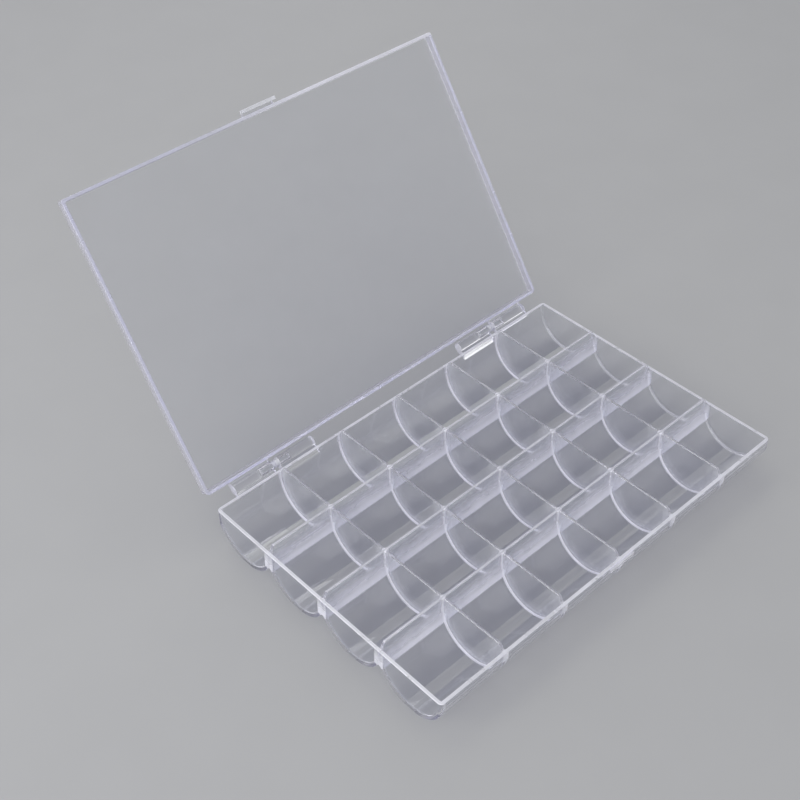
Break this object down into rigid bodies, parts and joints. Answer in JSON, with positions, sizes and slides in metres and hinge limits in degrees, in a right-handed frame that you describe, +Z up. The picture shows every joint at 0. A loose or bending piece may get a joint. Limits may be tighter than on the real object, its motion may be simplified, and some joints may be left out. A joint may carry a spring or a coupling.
{
  "type": "bobbin box",
  "caption": "Clear hinged plastic box with half-round troughs split into cells for sewing-machine bobbins, with a shallow flat lid, a thumb tab and a catch ledge.",
  "frame": {"origin": "on the floor, under the middle of the bounding box of the box with its lid open", "axes": "+X along the long side to the right, +Y from the front with the thumb tab to the hinges at the back, +Z up"},
  "size_m": [0.192, 0.2106, 0.1307],
  "materials": {
    "clear_plastic": "polished clear polystyrene"
  },
  "bodies": {
    "tray_body": {"tray": "clear_plastic", "hinge_pin_left": "clear_plastic", "hinge_pin_right": "clear_plastic"},
    "lid_body": {"lid": "clear_plastic"}
  },
  "joints": [
    {"name": "lid_hinge", "type": "hinge", "parent": "tray_body", "child": "lid_body", "pos_m": [0, 0.02714, 0.01892], "axis": [1, 0, 0], "range_deg": [0, 124]}
  ]
}
